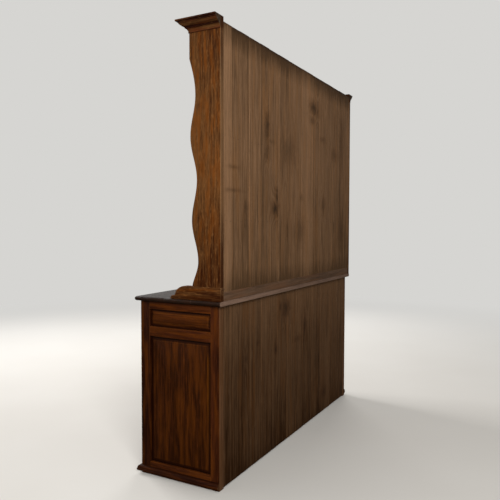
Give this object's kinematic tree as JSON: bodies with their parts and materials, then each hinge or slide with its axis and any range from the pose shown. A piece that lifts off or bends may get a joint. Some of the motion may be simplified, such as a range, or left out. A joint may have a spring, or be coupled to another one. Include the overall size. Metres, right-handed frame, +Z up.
{
  "type": "welsh dresser",
  "caption": "Stained oak dresser: a panelled base with drawers over doors carries an open plate rack with waved cheeks, shelves and a boarded back.",
  "frame": {"origin": "on the floor, at the middle of the dresser's whole width and depth", "axes": "+Z up; -Y to the dresser's front with its doors and drawers; +Y to its boarded back; +X to the right-hand end seen from the front"},
  "size_m": [1.724, 0.469, 2],
  "materials": {
    "oak_dark": "dark stained oak, satin",
    "oak_warm": "warm brown oak, satin",
    "oak_top": "dark oak, waxed, grey sheen",
    "pine_rack": "dull stained pine boards",
    "pine_base": "dull dark pine boards",
    "pine_inside": "bare aged pine",
    "knob_wood": "turned hardwood, polished",
    "brass": "aged, dull"
  },
  "bodies": {
    "dresser": {"left_front_post": "oak_dark", "right_front_post": "oak_dark", "left_rear_post": "oak_dark", "right_rear_post": "oak_dark", "left_side_top_rail": "oak_dark", "right_side_top_rail": "oak_dark", "left_side_middle_rail": "oak_dark", "right_side_middle_rail": "oak_dark", "left_side_bottom_rail": "oak_dark", "right_side_bottom_rail": "oak_dark", "left_side_upper_panel": "oak_dark", "right_side_upper_panel": "oak_dark", "left_side_lower_panel": "oak_dark", "right_side_lower_panel": "oak_dark", "front_top_rail": "oak_dark", "drawer_rail": "oak_dark", "front_bottom_rail": "oak_dark", "left_muntin": "oak_dark", "right_muntin": "oak_dark", "centre_panel": "oak_dark", "plinth_moulding": "oak_dark", "base_floor_board": "pine_inside", "dust_board": "pine_inside", "base_back_boards": "pine_base", "dresser_top": "oak_top", "left_rack_cheek": "oak_warm", "right_rack_cheek": "oak_warm", "left_rack_foot": "oak_warm", "right_rack_foot": "oak_warm", "rack_rear_rail": "pine_base", "rack_back_boards": "pine_rack", "lower_shelf": "oak_warm", "upper_shelf": "oak_warm", "rack_top_board": "pine_inside", "frieze": "oak_warm", "cornice": "oak_warm", "left_door_lower_hinge_post_leaf": "brass", "left_door_upper_hinge_post_leaf": "brass", "right_door_lower_hinge_post_leaf": "brass", "right_door_upper_hinge_post_leaf": "brass"},
    "left_drawer": {"left_drawer_front": "oak_dark", "left_drawer_box": "pine_inside", "left_drawer_knob": "knob_wood"},
    "middle_drawer": {"middle_drawer_front": "oak_dark", "middle_drawer_box": "pine_inside", "middle_drawer_knob": "knob_wood"},
    "right_drawer": {"right_drawer_front": "oak_dark", "right_drawer_box": "pine_inside", "right_drawer_knob": "knob_wood"},
    "left_door": {"left_door_frame": "oak_dark", "left_door_panel": "oak_dark", "left_door_knob": "knob_wood", "left_door_lower_hinge_door_leaf": "brass", "left_door_upper_hinge_door_leaf": "brass"},
    "right_door": {"right_door_frame": "oak_dark", "right_door_panel": "oak_dark", "right_door_knob": "knob_wood", "right_door_lower_hinge_door_leaf": "brass", "right_door_upper_hinge_door_leaf": "brass"}
  },
  "joints": [
    {"name": "left_drawer_slide", "type": "slide", "parent": "dresser", "child": "left_drawer", "axis": [0, -1, 0], "range_m": [0, 0.26]},
    {"name": "middle_drawer_slide", "type": "slide", "parent": "dresser", "child": "middle_drawer", "axis": [0, -1, 0], "range_m": [0, 0.26]},
    {"name": "right_drawer_slide", "type": "slide", "parent": "dresser", "child": "right_drawer", "axis": [0, -1, 0], "range_m": [0, 0.26]},
    {"name": "left_door_hinge", "type": "hinge", "parent": "dresser", "child": "left_door", "pos_m": [-0.754, -0.2083, 0.35], "axis": [0, 0, -1], "range_deg": [0, 165]},
    {"name": "right_door_hinge", "type": "hinge", "parent": "dresser", "child": "right_door", "pos_m": [0.754, -0.2083, 0.35], "axis": [0, 0, 1], "range_deg": [0, 165]}
  ]
}
